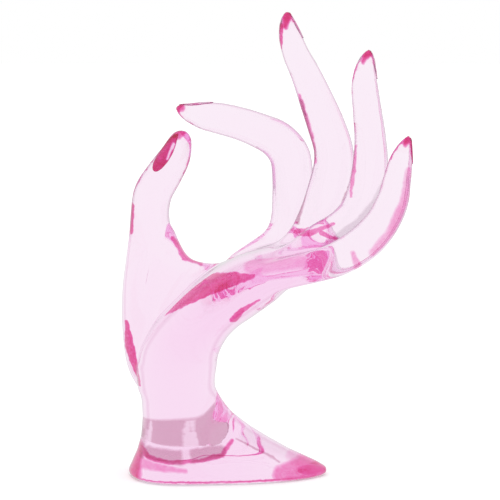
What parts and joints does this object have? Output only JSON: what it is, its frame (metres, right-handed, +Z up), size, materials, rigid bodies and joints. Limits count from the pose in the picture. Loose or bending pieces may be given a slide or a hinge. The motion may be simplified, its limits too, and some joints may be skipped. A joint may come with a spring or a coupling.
{
  "type": "hand ring holder",
  "caption": "Clear tinted resin hand on a flared teardrop foot, with thumb and bent index finger nearly meeting and the other fingers fanned upright to carry rings.",
  "frame": {"origin": "middle of the flat underside of the foot", "axes": "+Z up, +X from the heel of the foot to its tail; the palm faces -X, thumb and index finger lie on the +Y side and the little finger on the -Y side"},
  "size_m": [0.1034, 0.0453, 0.1658],
  "materials": {
    "resin": "clear pale pink cast resin, polished",
    "nail_tint": "clear deep pink tint, polished"
  },
  "bodies": {
    "root": {"base": "resin", "wrist": "resin", "palm": "resin", "thumb": "resin", "index_finger": "resin", "middle_finger": "resin", "ring_finger": "resin", "little_finger": "resin", "thumb_nail": "nail_tint", "index_nail": "nail_tint", "middle_nail": "nail_tint", "ring_nail": "nail_tint", "little_nail": "nail_tint"}
  },
  "joints": []
}
